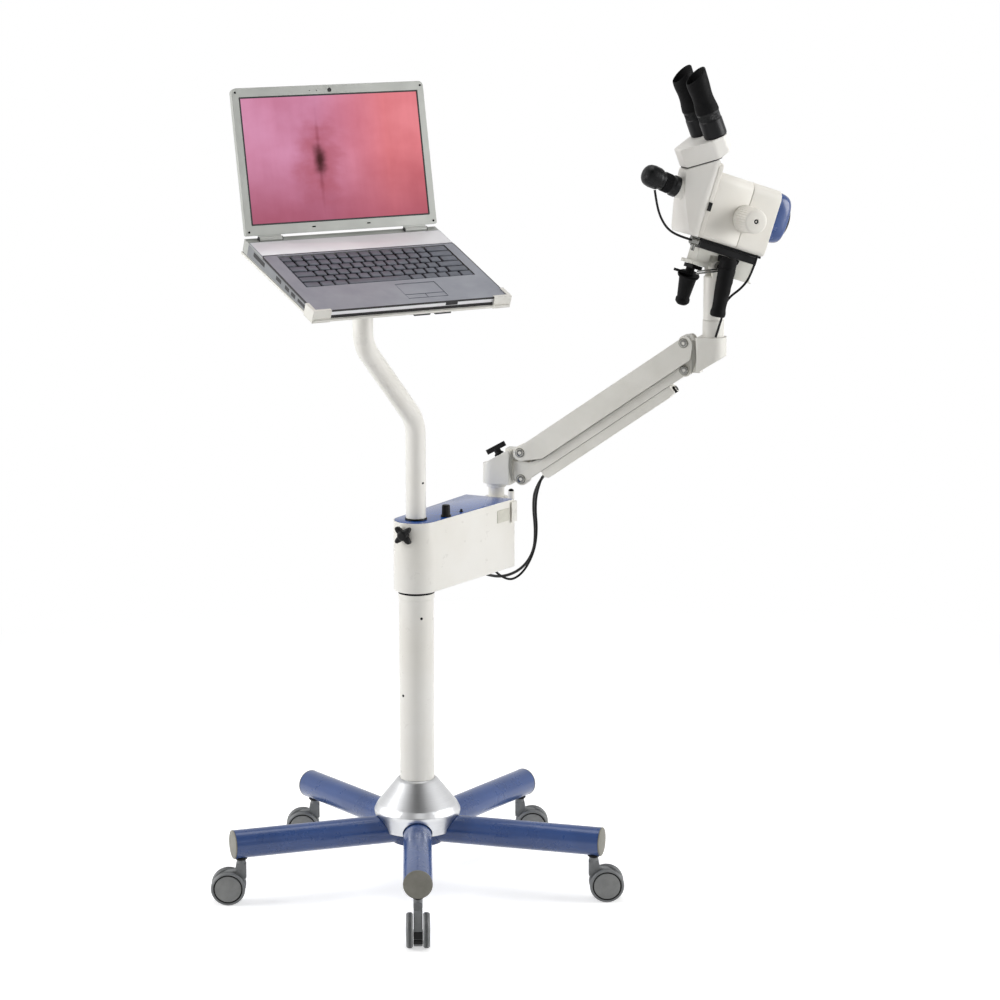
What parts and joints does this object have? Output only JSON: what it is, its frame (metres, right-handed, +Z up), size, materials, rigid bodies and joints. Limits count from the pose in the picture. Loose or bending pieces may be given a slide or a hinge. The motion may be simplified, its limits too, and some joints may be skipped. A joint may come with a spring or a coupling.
{
  "type": "colposcope",
  "caption": "Rolling colposcope: binocular head on a parallelogram balance arm, light box on a column, and a laptop on a tilting tray.",
  "frame": {"origin": "centre of the footprint box, on the floor under the wheels", "axes": "+X right, towards the head and its objective, +Y away from the viewer of the picture, +Z up; the column axis stands left of the origin"},
  "size_m": [0.9812, 0.641, 1.3896],
  "materials": {
    "blue_tube": "gloss blue powder coat",
    "grey_cap": "moulded grey",
    "brushed_cover": "spun and brushed",
    "white_steel": "ivory powder coat",
    "white_alloy": "ivory lacquer on a casting",
    "white_plastic": "ivory moulding",
    "blue_plate": "high gloss lacquer",
    "blue_plastic": "gloss moulding",
    "black_plastic": "fine grain",
    "black_alloy": "black anodised",
    "grip_rubber": "soft moulded rubber",
    "label_grey": "blank engraved sheet",
    "caster_grey": "moulded nylon",
    "wheel_grey": "moulded nylon with a dark tread",
    "saddle_grey": "matt lacquer",
    "steel_trim": "nickel plated",
    "laptop_silver": "metallic lacquer",
    "laptop_dark": "satin",
    "keys_dark": "fine grain",
    "screen": "matt display",
    "lens_glass": "coated lens",
    "cord_black": "cable jacket",
    "cord_grey": "cable jacket"
  },
  "bodies": {
    "base": {"leg_star": "blue_tube", "leg_end_caps": "grey_cap", "hub_cover": "brushed_cover", "column": "white_steel", "box_shell": "white_steel", "box_top": "blue_plate", "post_bracket": "white_steel", "plate_trim": "black_plastic", "label_plate": "label_grey", "thick_cable": "cord_grey", "thin_cable": "cord_black"},
    "caster_front": {"caster_fork_front": "caster_grey"},
    "wheels_front": {"caster_wheels_front": "wheel_grey"},
    "caster_right": {"caster_fork_right": "caster_grey"},
    "wheels_right": {"caster_wheels_right": "wheel_grey"},
    "caster_rear_right": {"caster_fork_rear_right": "caster_grey"},
    "wheels_rear_right": {"caster_wheels_rear_right": "wheel_grey"},
    "caster_rear_left": {"caster_fork_rear_left": "caster_grey"},
    "wheels_rear_left": {"caster_wheels_rear_left": "wheel_grey"},
    "caster_left": {"caster_fork_left": "caster_grey"},
    "wheels_left": {"caster_wheels_left": "wheel_grey"},
    "pole": {"pole": "white_steel"},
    "tray_head": {"tray_bracket": "white_steel"},
    "tray": {"tray": "white_alloy", "laptop_base": "laptop_silver", "laptop_deck": "laptop_dark"},
    "keys": {"laptop_keys": "keys_dark"},
    "lid": {"laptop_lid": "laptop_silver", "screen_panel": "screen"},
    "clamp": {"clamp_knob": "black_plastic"},
    "dimmer": {"dimmer_knob": "black_plastic"},
    "arm_base": {"arm_base_block": "white_alloy"},
    "arm_lock": {"arm_lock_knob": "black_plastic"},
    "upper_beam": {"upper_beam": "white_alloy"},
    "lower_link": {"lower_link": "white_alloy", "cable_channel": "white_alloy"},
    "arm_end": {"end_block": "white_alloy", "head_cable": "cord_black"},
    "head_rod": {"head_rod": "white_steel"},
    "saddle": {"focus_carriage": "saddle_grey", "slide_base": "black_alloy", "far_grip": "grip_rubber"},
    "tilt_lock": {"tilt_lock": "steel_trim"},
    "head": {"slide_rail": "black_alloy", "camera_plug": "steel_trim", "rear_housing": "white_plastic", "front_housing": "white_plastic", "seam_strip": "white_plastic", "objective_cap": "blue_plastic", "lens_cell": "black_plastic", "objective_lens": "lens_glass", "binocular_block": "white_plastic", "camera_body": "black_plastic", "camera_cable": "cord_black"},
    "near_grip": {"near_grip": "grip_rubber"},
    "mag_knob": {"mag_knob": "white_plastic"},
    "rocker": {"rocker_switch": "black_plastic"},
    "far_eyepiece": {"far_eyepiece": "black_plastic"},
    "near_eyepiece": {"near_eyepiece": "black_plastic"},
    "camera_ring": {"camera_ring": "black_plastic"}
  },
  "joints": [
    {"name": "caster_swivel_front", "type": "hinge", "parent": "base", "child": "caster_front", "pos_m": [-0.14292, -0.26953, 0.085], "axis": [0, 0, 1], "continuous": true},
    {"name": "wheel_roll_front", "type": "hinge", "parent": "caster_front", "child": "wheels_front", "pos_m": [-0.14292, -0.29153, 0.029], "axis": [1, 0, 0], "continuous": true},
    {"name": "caster_swivel_right", "type": "hinge", "parent": "base", "child": "caster_right", "pos_m": [0.15381, -0.05394, 0.085], "axis": [0, 0, 1], "continuous": true},
    {"name": "wheel_roll_right", "type": "hinge", "parent": "caster_right", "child": "wheels_right", "pos_m": [0.17581, -0.05394, 0.029], "axis": [0, 1, 0], "continuous": true},
    {"name": "caster_swivel_rear_right", "type": "hinge", "parent": "base", "child": "caster_rear_right", "pos_m": [0.04047, 0.29488, 0.085], "axis": [0, 0, 1], "continuous": true},
    {"name": "wheel_roll_rear_right", "type": "hinge", "parent": "caster_rear_right", "child": "wheels_rear_right", "pos_m": [0.06247, 0.29488, 0.029], "axis": [0, 1, 0], "continuous": true},
    {"name": "caster_swivel_rear_left", "type": "hinge", "parent": "base", "child": "caster_rear_left", "pos_m": [-0.32631, 0.29488, 0.085], "axis": [0, 0, 1], "continuous": true},
    {"name": "wheel_roll_rear_left", "type": "hinge", "parent": "caster_rear_left", "child": "wheels_rear_left", "pos_m": [-0.34831, 0.29488, 0.029], "axis": [0, -1, 0], "continuous": true},
    {"name": "caster_swivel_left", "type": "hinge", "parent": "base", "child": "caster_left", "pos_m": [-0.43965, -0.05394, 0.085], "axis": [0, 0, 1], "continuous": true},
    {"name": "wheel_roll_left", "type": "hinge", "parent": "caster_left", "child": "wheels_left", "pos_m": [-0.46165, -0.05394, 0.029], "axis": [0, -1, 0], "continuous": true},
    {"name": "pole_height", "type": "slide", "parent": "base", "child": "pole", "axis": [0, 0, 1], "range_m": [-0.06, 0.08]},
    {"name": "tray_swivel", "type": "hinge", "parent": "pole", "child": "tray_head", "pos_m": [-0.22786, -0.05547, 1.05172], "axis": [0, 0, 1], "range_deg": [-40, 40]},
    {"name": "tray_tilt", "type": "hinge", "parent": "tray_head", "child": "tray", "pos_m": [-0.22786, -0.05547, 1.05172], "axis": [0.8669, 0.4985, 0], "range_deg": [-12, 20]},
    {"name": "key_press", "type": "slide", "parent": "tray", "child": "keys", "axis": [-0.1799, 0.3128, -0.9326], "range_m": [0, 0.0015], "stiffness_N_per_m": 1500, "springref_m": -0.001},
    {"name": "lid_hinge", "type": "hinge", "parent": "tray", "child": "lid", "pos_m": [-0.25882, -0.00163, 1.124], "axis": [0.8669, 0.4985, 0], "range_deg": [-18, 112]},
    {"name": "pole_clamp_turn", "type": "hinge", "parent": "base", "child": "clamp", "pos_m": [-0.16405, 0.00274, 0.619], "axis": [-0.4695, -0.8829, 0], "range_deg": [0, 270]},
    {"name": "dimmer_turn", "type": "hinge", "parent": "base", "child": "dimmer", "pos_m": [-0.09232, 0.06477, 0.643], "axis": [0, 0, 1], "range_deg": [0, 300]},
    {"name": "arm_swing", "type": "hinge", "parent": "base", "child": "arm_base", "pos_m": [-0.00242, 0.25647, 0.68], "axis": [0, 0, 1], "range_deg": [-25, 80], "deforming": ["thick_cable", "thin_cable"]},
    {"name": "arm_lock_turn", "type": "hinge", "parent": "arm_base", "child": "arm_lock", "pos_m": [0.00322, 0.25442, 0.70875], "axis": [-0.4637, 0.1688, 0.8698], "range_deg": [0, 120]},
    {"name": "arm_lift", "type": "hinge", "parent": "arm_base", "child": "upper_beam", "pos_m": [0.04457, 0.23937, 0.7185], "axis": [-0.342, -0.9397, 0], "range_deg": [-35, 10], "deforming": ["thick_cable", "thin_cable"]},
    {"name": "link_lift", "type": "hinge", "parent": "arm_base", "child": "lower_link", "pos_m": [0.04457, 0.23937, 0.671], "axis": [-0.342, -0.9397, 0], "range_deg": [-36, 11]},
    {"name": "end_level", "type": "hinge", "parent": "upper_beam", "child": "arm_end", "pos_m": [0.31764, 0.13998, 0.9235], "axis": [-0.342, -0.9397, 0], "range_deg": [-11, 36]},
    {"name": "head_swivel", "type": "hinge", "parent": "arm_end", "child": "head_rod", "pos_m": [0.36096, 0.12421, 0.963], "axis": [0, 0, 1], "range_deg": [-45, 60], "deforming": ["head_cable"]},
    {"name": "head_tilt", "type": "hinge", "parent": "head_rod", "child": "saddle", "pos_m": [0.36096, 0.12421, 1.055], "axis": [-0.3256, 0.9455, 0], "range_deg": [-15, 20], "deforming": ["head_cable"]},
    {"name": "tilt_lock_turn", "type": "hinge", "parent": "head_rod", "child": "tilt_lock", "pos_m": [0.36096, 0.12421, 1.055], "axis": [-0.3256, 0.9455, 0], "range_deg": [-35, 0]},
    {"name": "focus_slide", "type": "slide", "parent": "saddle", "child": "head", "axis": [0.8977, 0.3091, -0.314], "range_m": [-0.008, 0.004], "deforming": ["head_cable"]},
    {"name": "grip_twist", "type": "hinge", "parent": "saddle", "child": "near_grip", "pos_m": [0.37893, 0.08386, 1.05391], "axis": [-0.1982, -0.0682, -0.9778], "range_deg": [-115, 58]},
    {"name": "mag_turn", "type": "hinge", "parent": "head", "child": "mag_knob", "pos_m": [0.40912, 0.09426, 1.13614], "axis": [0.3256, -0.9455, 0], "range_deg": [-144, 144]},
    {"name": "rocker_tip", "type": "hinge", "parent": "head", "child": "rocker", "pos_m": [0.34691, 0.07284, 1.15916], "axis": [0.8977, 0.3091, -0.314], "range_deg": [-6, 6]},
    {"name": "far_pupil_slide", "type": "slide", "parent": "head", "child": "far_eyepiece", "axis": [-0.3256, 0.9455, 0], "range_m": [-0.003, 0.008]},
    {"name": "near_pupil_slide", "type": "slide", "parent": "head", "child": "near_eyepiece", "axis": [-0.3256, 0.9455, 0], "range_m": [-0.008, 0.003]},
    {"name": "camera_focus_turn", "type": "hinge", "parent": "head", "child": "camera_ring", "pos_m": [0.31639, 0.10887, 1.17904], "axis": [-0.8671, -0.2986, 0.3987], "range_deg": [-90, 90]}
  ],
  "couplings": [
    {"joint": "link_lift", "follows": "arm_lift", "ratio": 1},
    {"joint": "end_level", "follows": "arm_lift", "ratio": -1},
    {"joint": "grip_twist", "follows": "focus_slide", "rad_per_m": 250},
    {"joint": "near_pupil_slide", "follows": "far_pupil_slide", "ratio": -1}
  ]
}
